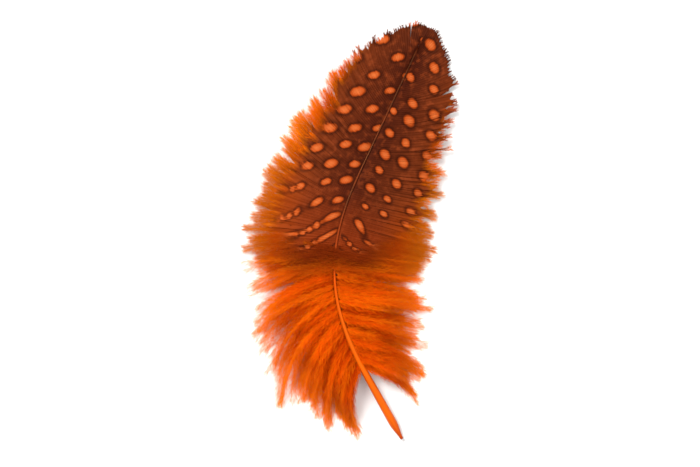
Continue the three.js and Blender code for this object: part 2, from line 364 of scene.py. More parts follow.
def barbules(middle, rank, at, look, values, uv, uv_size):
    """Fine bent slivers that grow from the barbs' middle lines, at places given by spread_along."""
    last_step = middle.shape[1] - 1
    step = np.minimum((at * last_step).astype(int), last_step - 1)
    amount = (at * last_step - step)[:, None]
    forward = unit(np.gradient(middle, axis=1))
    root = mix(middle[rank, step], middle[rank, step + 1], amount)
    ahead = unit(mix(forward[rank, step], forward[rank, step + 1], amount))
    level = look.hand * unit(np.cross(ahead, UP))
    sideways = level * np.cos(look.roll)[:, None] + UP * np.sin(look.roll)[:, None]
    halves = []
    for angle in (look.spread, CURL * look.spread):
        direction = ahead * np.cos(angle)[:, None] + sideways * np.sin(angle)[:, None]
        halves.append(direction * (look.length / 2)[:, None])
    edge = unit(np.cross(np.cross(ahead, sideways), halves[0])) * look.width / 2
    bend = root + halves[0]
    corners = np.stack([root, bend - edge, bend + edge, bend + halves[1]], axis=1)
    corners[..., 2] = np.maximum(corners[..., 2], 0)
    count = corners.shape[1]
    first_corner = np.arange(len(rank))[:, None] * count
    uv_steps = np.array([[0, 0], [0.5, -1], [0.5, 1], [1, 0]]) * uv_size
    return SimpleNamespace(
        points=corners.reshape(-1, 3),
        triangles=np.concatenate([first_corner + np.array(face) for face in BARBULE_FACES]),
        values={name: np.repeat(value, count) for name, value in values.items()},
        uv=(uv[:, None] + uv_steps).reshape(-1, 2),
    )


BAKE_MARGIN = 0.05  # of the bake's map, left free on each side


def bake_place(points):
    """Places on the bake's map straight under each point, over the box of the whole feather."""
    low, high = [np.array(corner)[:2] / MM for corner in cad_box]
    size = (high - low).max() * (1 + 2 * BAKE_MARGIN)
    return (points[..., :2] - low) / size + BAKE_MARGIN


def piece(name, node, material, part, smooth=False):
    """A finished piece of the feather, in place of its solid."""
    mesh = bpy.data.meshes.new(name)
    mesh.from_pydata(part.points * MM, [], part.triangles)
    for value_name, value in part.values.items():
        attribute = mesh.attributes.new(value_name, "FLOAT", "POINT")
        attribute.data.foreach_set("value", value.astype(np.float32))
    corners = np.empty(len(mesh.loops), np.int32)
    mesh.loops.foreach_get("vertex_index", corners)
    bake_map = mesh.uv_layers.new(name="OFBake")
    bake_map.uv.foreach_set("vector", part.uv[corners].astype(np.float32).ravel())
    mesh.polygons.foreach_set("use_smooth", np.full(len(mesh.polygons), smooth))
    mesh.materials.append(material)
    mesh.update()
    made = bpy.data.objects.new(name, mesh)
    bpy.context.scene.collection.objects.link(made)
    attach(made, "root")
    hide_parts(node)


# Shaft: a stout round quill that ends in a point and thins into the slender, grooved shaft of the vane
SHAFT_SIDES = 28
SHAFT_RINGS = 150
GROOVE_DEPTH = 0.3  # of the radius, along the underside of the shaft
GROOVE_NARROWNESS = 6


def shaft_mesh():
    station = np.linspace(0, SHAFT_LENGTH, SHAFT_RINGS)[:, None]
    around = np.linspace(0, -2 * np.pi, SHAFT_SIDES, endpoint=False)[None]
    radius = shaft_radius(station)
    below = np.maximum(-np.sin(around), 0) ** GROOVE_NARROWNESS
    grooved = GROOVE_DEPTH * smoothstep(station, BARB_START, VANE_START)
    across = radius * np.cos(around)
    above = radius * np.sin(around) * (1 - grooved * below)
    rings = place(station + 0 * around, across, lift(station) + above)[None]
    values = {"station": station[None], "across": across[None], "above": above[None]}
    uv = np.stack([0 * station - around / (2 * np.pi), station / SHAFT_LENGTH + 0 * around], -1)
    return tube(rings, values, uv)


# Spots of the vane, in rows that cross the shaft and columns that close on it towards the tip. Low on the
# vane they run into short bars, and the bars break up into fine dots like beads.
ROW_PITCH = 2.25
CLOSER_BELOW = 30  # station below which the rows lie closer together
CLOSER_ROWS = 0.1  # rows more to the millimetre there
CLOSER_OVER = 2.0  # length of shaft over which that begins
COLUMN_GROWTH = 0.12  # how much wider apart the columns are for each one further out
DRIFT_START = 31  # station from which the columns close on the shaft
DRIFT = 0.018  # per millimetre of station, squared
FULL_REACH = 1.4  # a spot whose middle is nearer the shaft than this is smaller
NO_REACH = -2.0  # and would be nothing here, beyond the shaft
LEAST_SIZE = 0.01
BAR_STATION = 24.5  # about here the spots are bars
SPOT_STATION = 29  # from here on they are oval
FULL_STATION = 35  # and from here on of full size
SMALL_SPOT = 0.8  # of the full size, at the foot of the vane
BAR_LENGTH = 2.7
BAR_WIDTH = 0.6
BAR_SLANT = 1.0  # of the bars by the shaft, back along it for each step out
BAR_FLATTENING = 6.0  # reach over which that slant falls to about a third
FRAY_REACH = 5.0  # beyond this reach, the spots of the lower rows run into bars too
BEADED_SHARE = 0.6  # of the bars break up into beads
BEADED_TO = 0.8  # of the way from a bar to an oval spot, up to which they do
BEAD_PITCH = 0.8
BEAD_LENGTH = 0.8  # of that pitch
BEAD_EXCESS = 0.3  # by which the row of beads runs on beyond the bar
SPOT_WANDER = 0.1  # of the pitch, by which a spot lies off its place
SPOT_VARIETY = 0.16  # by which its size differs
SPOT_ROUGHNESS = 0.06  # how far a spot's edge may step from one barb to the next
FAR_OUTSIDE = -9.0


def spot_field(station, reach, look):
    """How far inside a spot each place is: 1 at its middle, 0 at its edge, below 0 outside."""
    grown = smoothstep(station, BAR_STATION, SPOT_STATION)
    frayed = look.fraying * np.maximum(reach - FRAY_REACH, 0)
    oval = smoothstep(station - frayed, BAR_STATION, SPOT_STATION)

    # The place's column and row, as numbers whose whole parts are those of the spots.
    closing = np.maximum(station - DRIFT_START, 0)
    skew = 2 * DRIFT * closing
    outside = np.maximum((reach + DRIFT * closing**2 - look.first_column) / look.column_pitch, -1)
    # Column c lies c + COLUMN_GROWTH * c**2 pitches out, so its number is a root of that.
    widening = np.sqrt(1 + 4 * COLUMN_GROWTH * outside)
    column = (widening - 1) / (2 * COLUMN_GROWTH)
    pitch = look.column_pitch * widening
    bar_slant = BAR_SLANT * np.exp(-reach / BAR_FLATTENING)
    bar_fall = BAR_FLATTENING * (BAR_SLANT - bar_slant)
    slant = mix(bar_slant, look.slant, grown)
    level = station + mix(bar_fall, look.slant * reach, grown)
    below = CLOSER_BELOW - level
    row = level / ROW_PITCH - CLOSER_ROWS * (below + np.hypot(below, CLOSER_OVER)) / 2

    scale = mix(SMALL_SPOT, 1, smoothstep(station, SPOT_STATION, FULL_STATION))
    half_length = mix(BAR_LENGTH, look.spot_length * scale, oval) / 2
    half_width = mix(BAR_WIDTH, look.spot_width * scale, oval) / 2
    tilt = mix(np.arctan(slant), look.tilt, oval)
    best = np.full(station.shape, FAR_OUTSIDE)
    for column_step in (0, 1):
        spot_column = np.floor(column) + column_step
        for row_step in (0, 1):
            spot_row = np.floor(row) + row_step
            seed = 37 * spot_column + 11 * spot_row + look.seed
            outwards = (column - spot_column - SPOT_WANDER * either_way(seed)) * pitch
            forwards = (row - spot_row - SPOT_WANDER * either_way(seed + 5)) * ROW_PITCH
            across = (outwards - skew * forwards) / (1 - skew * slant)
            ahead = (forwards - slant * outwards) / (1 - skew * slant)
            long_way = across * np.cos(tilt) - ahead * np.sin(tilt)
            short_way = across * np.sin(tilt) + ahead * np.cos(tilt)
            near = np.maximum(smoothstep(reach - across, NO_REACH, FULL_REACH), LEAST_SIZE)
            size = (1 + SPOT_VARIETY * either_way(seed + 9)) * near
            inside = 1 - np.hypot(long_way / (half_length * size), short_way / (half_width * size))
            bead_way = long_way / BEAD_PITCH - np.round(long_way / BEAD_PITCH)
            bead = 1 - np.hypot(2 * bead_way / BEAD_LENGTH, short_way / (half_width * size))
            beaded = (jitter(seed + 3) < BEADED_SHARE) & (oval < BEADED_TO)
            inside = np.where(beaded, np.minimum(bead, inside + BEAD_EXCESS), inside)
            best = np.where(spot_column < 0, best, np.maximum(best, inside))
    return best


# Vanes. A look gives the places and shapes of a vane's spots, and how far its barbs are closed: foot is the
# place along the vane, from 0 to 1, above which they are closed up to margin, a share of their length. Beyond
# that share a barb is downy.
LEFT_VANE = SimpleNamespace(
    side=-1,
    seed=45,
    first_column=1.1,
    column_pitch=1.9,
    slant=0.48,
    tilt=np.radians(38),
    spot_length=1.55,
    spot_width=0.94,
    fraying=1.6,
    margin=0.8,
    foot=0.15,
)
RIGHT_VANE = SimpleNamespace(
    side=1,
    seed=10,
    first_column=2.0,
    column_pitch=2.05,
    slant=0.1,
    tilt=np.radians(30),
    spot_length=1.3,
    spot_width=0.98,
    fraying=0.6,
    margin=0.92,
    foot=0.28,
)
BARBS_PER_LOCK = 7  # about four barbs to the millimetre
VANE_STEPS = 34
FOOT_CLOSED = 0.25  # closed share at the very foot of the vane
FOOT_FROM = -0.02  # place along the vane from which it grows
TIP_CLOSED = 1.06  # and near the tip, where barbs are closed to their ends
TIP_FROM = 0.42
TIP_TO = 0.85
CLOSED_WANDER = 0.05  # by which the closed share differs from barb to barb
DOWNY_TURN = (-0.16, 0.12)  # shares round the closed one between which a barb turns downy
WEB_TURN = (-0.04, 0.2)  # and between which its webs narrow
LENGTH_WANDER = (0.012, 0.13)  # by which the lengths of closed and of downy barbs differ
TURN_WANDER = (1.5, 6)  # by which their directions differ, in degrees
LOW_BARBS = (0.1, 0.5)  # places between which the barbs settle into the directions of closed ones
PARTING = (0.02, 0.24)  # least and most by which the barbs of a lock draw together at their tips
PARTING_POWER = 3  # of the draw between them: most locks part little
DOWNY_PARTING = 0.4  # share of that which downy ends keep
ROOT_LEVEL = 0.25  # of the solid's thickness: the barbs grow from the shaft's sides, and leave its top bare
BARB_LEVEL = 0.75  # where they lie further out
ROOT_RISE = 0.1  # share of a barb over which it rises from the one to the other
RIDGE_HEIGHT = 0.075  # of a barb's ridge above its webs, at its root
RIDGE_END = 0.5  # share of that at its tip
WEB_DROP = 0.03  # the web on the tip side lies this much lower, under the next barb
WEB_WIDTH = 1.06  # of the space between two barbs, so that webs meet
LOOSE_WEB_WIDTH = 0.18  # on the downy part
END_WIDTH = 0.04  # at a barb's very tip
TAPER_FROM = (0.95, 0.85)  # shares from which the webs of closed and of downy barbs taper
TIP_WEB = 3  # the last barb's outer web is this much wider, and meets that of the other vane
SPLIT_SHARE = 0.3  # of the gaps between two locks are open splits
FRINGE_SPACING = 0.014  # of the loose barbules, along a barb
FRINGE_WIDTH = 0.026
FRINGE_BEFORE = 0.18  # share before the end of the closed part at which they begin
FRINGE_LATEST = 0.95  # share of a barb at which they begin at the latest
FRINGE_LENGTHS = (0.1, 1.6)  # of the longest, on closed and on downy barbs
FRINGE_SHORTEST = 0.4  # of those lengths
FRINGE_END = 0.3  # share by which they are shorter at a barb's tip
FRINGE_END_POWER = 4  # of the share of a barb, which keeps that to its end
FRINGE_ROLL = 1.2  # radians by which they stand up or hang down on downy barbs
CLOSED_ROLL = 0.4  # share of that on closed ones
LEAST_SPREAD = 18  # degrees between barb and barbule
MOST_SPREADS = (50, 85)  # on closed and on downy barbs
FRINGE_UV = (0.002, 0.001)  # size of a barbule on the bake's map


def vane_mesh(look):
    """A vane of ridged barbs whose webs meet as far as it is closed, with a fringe of loose barbules."""
    side = look.side
    index = np.arange(VANE.locks * BARBS_PER_LOCK)
    number = (index + 0.5) / BARBS_PER_LOCK
    lock = np.floor(number)
    along = (number / VANE.locks)[:, None]
    share = np.linspace(0, 1, VANE_STEPS)

    # How far each barb is closed, and how downy it is at each step.
    closed_to = mix(FOOT_CLOSED, look.margin, smoothstep(along, FOOT_FROM, look.foot))
    closed_to = mix(closed_to, TIP_CLOSED, smoothstep(along, TIP_FROM, TIP_TO))
    closed_to = closed_to + CLOSED_WANDER * either_way(index * 3.1)[:, None]
    downy = smoothstep(share, closed_to + DOWNY_TURN[0], closed_to + DOWNY_TURN[1])
    fluffy_end = downy[:, -1]

    # The barbs' lines. Downy ends fill the notches between two locks.
    notch = VANE.notch * (1 - np.sin(np.pi * (number - lock)))
    own_length = 1 + mix(*LENGTH_WANDER, fluffy_end) * either_way(index * 1.7 + side)
    own_length = own_length / (1 - fluffy_end * notch)
    unsettled = np.maximum(1 - smoothstep(along[:, 0], *LOW_BARBS), fluffy_end)
    own_turn = mix(*TURN_WANDER, unsettled) * either_way(index * 2.3 - side)
    parted = mix(*PARTING, jitter(lock * 3.7 + side) ** PARTING_POWER) * mix(1, DOWNY_PARTING, fluffy_end)
    lines = barb_lines(VANE, number, share, own_turn, own_length)
    lock_lines = barb_lines(VANE, lock + 0.5, share)
    station, reach = mix(lines, lock_lines, parted[:, None] * share**2)
    clear = smoothstep(share, 0, ROOT_RISE)
    height = sheet_layer(VANE, number, station, reach, share, mix(ROOT_LEVEL, BARB_LEVEL, clear))

    # Webs reach half way to the next barb, and narrow to almost nothing at the barb's tip. Where the vane is
    # split between two locks, they only go as far as inside the lock.
    opening = smoothstep(share, closed_to + WEB_TURN[0], closed_to + WEB_TURN[1])
    tapering = smoothstep(share, mix(*TAPER_FROM, downy), 1.0)
    wide = (1 - tapering) * mix(WEB_WIDTH, LOOSE_WEB_WIDTH, opening) + END_WIDTH
    split = (index % BARBS_PER_LOCK == 0) & (jitter(number * 7.3 + side) < SPLIT_SHARE)
    edges = []
    for line in (station, reach):
        steps = np.diff(line, axis=0)
        for barb in index[split][1:]:
            steps[barb - 1] = steps[barb]
        before = np.concatenate([steps[:1], steps])
        after = np.concatenate([steps, TIP_WEB * steps[-1:]])
        edges.append(np.stack([line - before / 2 * wide, line, line + after / 2 * wide], axis=2))
    stations, reaches = [edge[:, :, ::side] for edge in edges]
    ridge = RIDGE_HEIGHT * mix(1, RIDGE_END, share) * clear
    heights = np.stack([height, height + ridge, height - WEB_DROP], axis=2)[:, :, ::side]
    rings = place(stations, side * reaches, heights)
    rough_edge = SPOT_ROUGHNESS * either_way(index * 4.7)[:, None, None]
    values = {
        "spot": spot_field(stations + rough_edge, reaches, look),
        "downy": downy[:, :, None],
        "tone": jitter(index * 5.9 + side)[:, None, None],
        "reach": reach[:, :, None],
        "station": station[:, :, None],
    }
    parts = [tube(rings, values, bake_place(rings))]

    # Loose barbules along the downy ends and, very short, round the closed edge.
    middle = rings[:, :, 1]
    start = np.minimum(closed_to[:, 0] - FRINGE_BEFORE, FRINGE_LATEST)
    length = np.linalg.norm(np.diff(middle, axis=1), axis=-1).sum(axis=1)
    counts = np.ceil((1 - start) * length / FRINGE_SPACING).astype(int)
    on_middle = {name: np.broadcast_to(value, rings.shape[:3])[:, :, 1] for name, value in values.items()}
    for hand in (-1, 1):
        rank, at = spread_along(counts, start, hand * 3.3 + side)
        seed = 13.1 * rank + 71 * at + hand
        step = np.minimum((at * (VANE_STEPS - 1)).astype(int), VANE_STEPS - 1)
        fluffy = downy[rank, step]
        varied = mix(FRINGE_SHORTEST, 1, jitter(seed + 2.1))
        barbule = SimpleNamespace(
            hand=hand,
            roll=FRINGE_ROLL * either_way(seed + 1.3) * mix(CLOSED_ROLL, 1, fluffy),
            spread=np.radians(mix(LEAST_SPREAD, mix(*MOST_SPREADS, fluffy), jitter(seed + 4.1))),
            length=mix(*FRINGE_LENGTHS, fluffy) * varied * (1 - FRINGE_END * at**FRINGE_END_POWER),
            width=FRINGE_WIDTH,
        )
        carried = {name: value[rank, step] for name, value in on_middle.items()}
        parts.append(barbules(middle, rank, at, barbule, carried, bake_place(middle[rank, step]), FRINGE_UV))
    return joined(parts)


# Down: barbs in silky wisps, which draw together towards their tips. A look gives their numbers, the length
# of their barbules, how far the barbs of a wisp gather, and overlay: the skirts' last barbs grow this many
# locks further up, over the foot of the vane.
SKIRT = SimpleNamespace(
    overlay=1.4,
    wisps_per_lock=5,
    barbs_per_wisp=5,
    barbules_per_side=150,
    barbule_length=0.8,
    gather=0.42,
)
PLUME = SimpleNamespace(
    overlay=0,
    wisps_per_lock=4,
    barbs_per_wisp=3,
    barbules_per_side=70,
    barbule_length=0.7,
    gather=0.4,
)
DOWN_STEPS = 17
WISP_WANDER = 0.3  # of their spacing, by which the wisps lie off their places
WISP_LEVELS = (0.03, 0.97)  # lowest and highest in the solid
WISP_LENGTHS = (0.72, 1.04)  # shortest and longest, of the solid's
WISP_TURN = 9  # degrees by which they turn either way
BARB_LENGTHS = (0.8, 1.04)  # of their wisp's
BARB_TURN = 8
LEVEL_WANDER = 0.16  # by which barbs lie above or below their wisp
LEVEL_LIMITS = (0.02, 0.98)
GATHER_POWER = 1.3  # of the share of a barb: those of a wisp gather towards their tips
LOCK_GATHER = 0.2  # how far all barbs draw towards the middle of their lock
FRAYED_LOCKS = 1.8  # beside the bare quill, barbs of many lengths lie apart
FRAYED_SHORTER = 0.3  # the shortest of them lack this much more of their length
LOOSE_SHARE = 0.35  # of the barbs lie loose and low, and fill the gaps between the wisps
LOOSE_LEVEL = 0.3
CROSSING = 0.7  # some of the skirts' last barbs start this far beyond their side, across the shaft
CROSSING_POWER = 4  # of the share of a barb still to come, which keeps that to its root
CROSSING_SHARE = 0.5
CROSSING_LOCKS = 0.5  # of the last lock, and all that grow over the vane
CROSSING_LEVEL = 0.95
WAVE_SIZE = 0.3  # of each barb's own slow wave, at its tip
WAVE_ANGLES = (2.5, 5)  # radians of that wave along a barb
RISE_SIZE = 0.2  # of the wave up and down
RISE_ANGLE = 5  # radians of it along a barb
RISE_PHASE = 2.1  # times the phase of the other wave, so that the two keep apart
LOWEST = 0.03  # height above the table
RAMUS_WIDTH = 0.05  # of a barb at its root
RAMUS_TAPER = 0.75  # share of that which it loses towards its tip
RAMUS_HEIGHT = 1.7  # of half its width
FOOT_PLACES = (0.84, 1.06)  # along a skirt, between which its barbs darken towards the vane
FOOT_SHARES = (0.3, 0.75)  # of a barb, between which it brightens again
OWN_TONE = 0.35  # share of a barb's tone that is its own and not its wisp's
BARBULE_WIDTH = 0.034
BARBULE_LENGTHS = (0.5, 1.1)  # of the look's
BARBULE_END = 0.25  # share by which they are shorter at a barb's tip
BARBULE_END_POWER = 3  # of the share of a barb, which keeps that to its end
ROOTWARD = 1.2  # above 1, they stand closer together towards the root
BARBULE_ROLL = 1.3  # radians by which they stand up or hang down
BARBULE_SPREADS = (10, 34)  # degrees between barb and barbule
LONG_SHARE = 0.3  # of the barbules are long and stand well out, which gives the down its haze
LONG_STRETCH = 1.7
LONG_SPREAD = 1.8
LOOSE_STRETCH = 1.35  # of the barbules on loose barbs
STRIP_SPAN = 0.96  # of the bake's map, on which each barb has a strip of its own
RAMUS_PLACES = (0.1, 0.3, 0.2)  # of a barb's three corners across that strip
BARBULE_PLACE = 0.35
BARBULE_UV = (0.5, 0.004)  # size of a barbule on the map, in strips across and in shares along


def downy_mesh(sheet, side, look):
    """A skirt of downy barbs that fills its solid, on one side of the shaft."""
    wisp = np.arange(int((sheet.locks + look.overlay) * look.wisps_per_lock))
    wisp_number = (wisp + 0.5 + WISP_WANDER * either_way(wisp * 1.9 + side)) / look.wisps_per_lock
    wisp_level = mix(*WISP_LEVELS, jitter(wisp * 6.1 + sheet.seed))
    wisp_length = mix(*WISP_LENGTHS, jitter(wisp * 2.7 + sheet.seed))
    wisp_turn = WISP_TURN * either_way(wisp * 3.9 + sheet.seed)

    # Each barb's wisp and lock number.
    rank = np.repeat(wisp, look.barbs_per_wisp)
    index = np.arange(len(rank))
    number = wisp_number[rank] + either_way(index * 2.9 + side) / look.wisps_per_lock
    kept = (number > 0) & (number < sheet.locks + look.overlay * jitter(index * 9.1))
    rank, number = rank[kept], number[kept]
    count = len(rank)
    index = np.arange(count)
    share = np.linspace(0, 1, DOWN_STEPS)

    # The barbs' lines, drawn together into wisps and locks, and their heights.
    loose = jitter(index * 11.3 + sheet.seed) < LOOSE_SHARE
    drawn = smoothstep(number, 0, FRAYED_LOCKS)
    shortest = BARB_LENGTHS[0] - FRAYED_SHORTER * (1 - drawn)
    own_length = wisp_length[rank] * mix(shortest, BARB_LENGTHS[1], jitter(index * 7.7))
    own_turn = wisp_turn[rank] + BARB_TURN * either_way(index * 4.9 + sheet.seed)
    lines = barb_lines(sheet, number, share, own_turn, own_length)
    wisp_lines = barb_lines(sheet, wisp_number, share, wisp_turn, wisp_length)[:, rank]
    lock_lines = barb_lines(sheet, np.floor(number) + 0.5, share)
    gather = np.where(loose, 0, look.gather) * drawn
    lines = mix(lines, wisp_lines, gather[:, None] * share**GATHER_POWER)
    station, reach = mix(lines, lock_lines, LOCK_GATHER * drawn[:, None] * share**2)
    crossing = (number > sheet.locks - CROSSING_LOCKS) & (jitter(index * 6.7) < CROSSING_SHARE)
    reach = reach - np.where(crossing, CROSSING, 0)[:, None] * (1 - share) ** CROSSING_POWER
    level = np.where(loose, LOOSE_LEVEL, wisp_level[rank]) + LEVEL_WANDER * either_way(index * 5.1)
    level = np.clip(np.where(crossing, CROSSING_LEVEL, level), *LEVEL_LIMITS)
    height = sheet_layer(sheet, number, station, reach, share, level[:, None])

    # Each barb has a slow wave of its own, which grows towards its tip.
    phase = 2 * np.pi * jitter(index * 8.3)[:, None]
    wave = np.sin(phase + share * mix(*WAVE_ANGLES, jitter(index * 4.3))[:, None]) - np.sin(phase)
    station = station + WAVE_SIZE * share * wave
    rise = np.cos(RISE_PHASE * phase + RISE_ANGLE * share)
    height = np.maximum(height + RISE_SIZE * share * rise, LOWEST)

    # The barbs themselves, three-sided and tapered.
    middle = place(station, side * reach, height)
    half_width = RAMUS_WIDTH / 2 * (1 - RAMUS_TAPER * share)[None, :, None]
    sideways = unit(np.cross(np.gradient(middle, axis=1), UP)) * half_width
    upwards = RAMUS_HEIGHT * UP * half_width
    rings = np.stack([middle - sideways, middle + sideways, middle + upwards], axis=2)
    at_foot = smoothstep(number / sheet.locks, *FOOT_PLACES)[:, None]
    foot = at_foot * (1 - smoothstep(share, *FOOT_SHARES))
    tone = mix(jitter(rank * 5.3 + sheet.seed), jitter(index * 3.3), OWN_TONE)
    values = {
        "tone": tone[:, None, None],
        # how low a barb lies in its sheet, by which the material paints shade
        "depth": (1 - level)[:, None, None],
        "share": share[None, :, None],
        "foot": foot[:, :, None],
    }
    strip = 1 / count
    strip_end = (1 - STRIP_SPAN) / 2
    u = (index[:, None, None] + np.array(RAMUS_PLACES)) * strip + 0 * share[None, :, None]
    v = share[None, :, None] * STRIP_SPAN + strip_end + 0 * u
    parts = [tube(rings, values, np.stack([u, v], -1))]

    # Barbules on both sides of every barb.
    counts = np.full(count, look.barbules_per_side)
    for hand in (-1, 1):
        barb, at = spread_along(counts, np.zeros(count), hand * 9.1 + sheet.seed)
        at = at**ROOTWARD
        seed = 13.7 * barb + 83 * at + hand
        long = jitter(seed + 6.1) < LONG_SHARE
        stretch = np.where(long, LONG_STRETCH, 1) * np.where(loose[barb], LOOSE_STRETCH, 1)
        varied = mix(*BARBULE_LENGTHS, jitter(seed + 2.3)) * (1 - BARBULE_END * at**BARBULE_END_POWER)
        spread = mix(*BARBULE_SPREADS, jitter(seed + 3.7)) * np.where(long, LONG_SPREAD, 1)
        barbule = SimpleNamespace(
            hand=hand,
            roll=BARBULE_ROLL * either_way(seed + 1.1),
            spread=np.radians(spread),
            length=look.barbule_length * varied * stretch,
            width=BARBULE_WIDTH,
        )
        step = np.minimum((at * DOWN_STEPS).astype(int), DOWN_STEPS - 1)
        carried = {"tone": tone[barb], "depth": 1 - level[barb], "share": at, "foot": foot[barb, step]}
        uv = np.stack([(barb + BARBULE_PLACE) * strip, at * STRIP_SPAN + strip_end], -1)
        uv_size = (BARBULE_UV[0] * strip, BARBULE_UV[1])
        parts.append(barbules(middle, barb, at, barbule, carried, uv, uv_size))
    return joined(parts)


# Materials
def colour(code):
    """A linear colour from an sRGB hex value."""
    parts = [int(code[k : k + 2], 16) / 255 for k in (1, 3, 5)]
    linear = [p / 12.92 if p <= 0.04045 else ((p + 0.055) / 1.055) ** 2.4 for p in parts]
    return (*linear, 1.0)


def connect(tree, node, inputs):
    """Sets a node's inputs, which are named, or numbered where names repeat. Each is a value or a socket."""
    named = {socket.name: socket for socket in reversed(node.inputs) if socket.enabled}
    for key, value in inputs.items():
        socket = named[key] if isinstance(key, str) else node.inputs[key]
        if isinstance(value, bpy.types.NodeSocket):
            tree.links.new(value, socket)
        else:
            socket.default_value = value


def add_node(tree, kind, inputs, output=None, **settings):
    """Adds a node with its settings and links, and gives one of its outputs."""
    node = tree.nodes.new("ShaderNode" + kind)
    for name, value in settings.items():
        setattr(node, name, value)
    connect(tree, node, inputs)
    enabled = [socket for socket in node.outputs if socket.enabled]
    return node.outputs[output] if output else enabled[0]


def new_material(name):
    material = bpy.data.materials.new(name)
    material.use_nodes = True
    tree = material.node_tree
    return material, tree, tree.nodes["Principled BSDF"]


def let_light_through(tree, shader, shown, amount):
    """Thin barbs also pass on the light that falls on their far side."""
    through = add_node(tree, "BsdfTranslucent", {"Color": shown})
    both = add_node(tree, "MixShader", {0: amount, 1: shader.outputs[0], 2: through})
    connect(tree, tree.nodes["Material Output"], {"Surface": both})


STREAK_WIDTH = 0.19  # of the fibres that show in the quill
STREAK_LENGTH = 2.9
STREAK_RELIEF = 0.03
STREAK_DARKENING = {"From Min": 0.45, "From Max": 0.75, "To Max": 0.4}  # by the fibres' noise
STREAK_ROUGHNESS = {"From Min": 0.3, "From Max": 0.7, "To Min": 0.26, "To Max": 0.42}
SIDE_SHADE_STATIONS = {"From Min": 22.0, "From Max": 15.0, "To Max": 0.7}  # over which the painted shade on the quill's sides sets in
SIDE_SHADE_HEIGHTS = {"From Min": 0.36, "From Max": 0.0}  # over its middle line, from its top down to its sides
QUILL_TONES = (  # along the shaft, from the quill's end at 0 to the tip at 1
    (0, "#be4206"),
    (0.06, "#d85a06"),
    (0.3, "#e66a0a"),
    (0.42, "#d24e04"),
    (0.5, "#8a300c"),
    (0.6, "#36120c"),
    (1, "#28100c"),
)


def quill_keratin():
    """Dyed keratin, smooth and a little translucent: clear orange at the quill, with faint fibres along it,
    and dark red-brown where it runs through the vane."""
    material, tree, shader = new_material("dyed_keratin_satin")
    add = partial(add_node, tree)
    names = ("station", "across", "above")
    station, across, above = [add("Attribute", {}, "Fac", attribute_name=name) for name in names]
    along = add("MapRange", {"Value": station, "From Max": SHAFT_LENGTH})
    shown = add("ValToRGB", {"Fac": along})
    stops = shown.node.color_ramp.elements
    for position, _ in QUILL_TONES[1:-1]:
        stops.new(position)
    for stop, (_, code) in zip(stops, QUILL_TONES):
        stop.color = colour(code)

    # Fibres, drawn out along the shaft. The quill's sides are darkened by painted shade, from its top down to
    # its sides, and most along the bare quill.
    drawn = {"Value": station, "From Max": STREAK_LENGTH, "To Max": STREAK_WIDTH}
    stretched = add("MapRange", drawn, clamp=False)
    fibre_place = add("CombineXYZ", {"X": across, "Y": above, "Z": stretched})
    fibres = add("TexNoise", {"Vector": fibre_place, "Scale": 1 / STREAK_WIDTH, "Detail": 3.0})
    darker = add("MapRange", {"Value": fibres, **STREAK_DARKENING})
    # painted shade on the quill's sides, strongest along the bare quill
    quill = add("MapRange", {"Value": station, **SIDE_SHADE_STATIONS})
    sides = add("MapRange", {"Value": above, **SIDE_SHADE_HEIGHTS, "To Max": quill})
    for amount, code in ((darker, "#b03c06"), (sides, "#9c3004")):
        shown = add("Mix", {"Factor": amount, "A": shown, "B": colour(code)}, data_type="RGBA")
    finish = {
        "Base Color": shown,
        "Roughness": add("MapRange", {"Value": fibres, **STREAK_ROUGHNESS}),
        "Normal": add("Bump", {"Height": fibres, "Strength": 0.25, "Distance": STREAK_RELIEF * MM}),
        "IOR": 1.55,
        "Specular IOR Level": 0.5,
        "Specular Tint": colour("#ff9c58"),
    }
    connect(tree, shader, finish)
    return material


MOTTLE = 0.7  # size of the ground's cloudy flecks
FLECKED = {"From Min": 0.5, "From Max": 0.75}  # by the noise of those clouds
REDDER_REACHES = {"From Min": 0.3, "From Max": 7.0}  # over which the ground turns redder outwards
REDDER_STATIONS = {"From Min": 31.0, "From Max": 23.0}  # and towards the down
BARB_DARKENING = 0.5  # the most by which one barb is darker than the next
LOW_STATIONS = {"From Min": 33.0, "From Max": 28.0, "To Max": 0.85}  # over which the lower rows begin
EDGE_REACHES = {"From Min": 4.4, "From Max": 7.2}  # over which their ground turns orange-brown
RING_FIELD = {"From Min": -0.8, "From Max": -0.2}  # of the spots, over which their rings darken
RING_STRENGTHS = {"To Min": 0.8, "To Max": 0.5}  # of rings further in, and at that edge
DYED_FIELD = {"From Min": -0.14, "From Max": 0.22}  # over which the spots' dye begins
PALER_FIELD = {"From Min": 0.1, "From Max": 0.7}  # and over which it turns paler
DYED_REACHES = {"From Min": 3.2, "From Max": 6.6}  # over which downy ends turn from red-brown to orange
GLOW_REACHES = {"From Min": 6.5, "From Max": 9.5, "To Max": 0.8}  # and then yellower, a painted glow of light through their thin ends
BROWNER = 0.5  # share of brown in the downy ends of the lower rows
OPENED = {"From Min": 0.15, "From Max": 0.9}  # how downy a barb is as it takes on those colours
WAVE_TURN = 2 * np.pi / (10 * np.sqrt(2))  # scale at which diagonal bands lie one unit apart
HOOKLET_PITCH = 0.12  # of the lines of hooked barbules across the webs: 0.03 on a feather, too fine to show
HOOKLET_RELIEF = 0.02
BARB_THROUGH = 0.3  # share of the light that passes through a barb


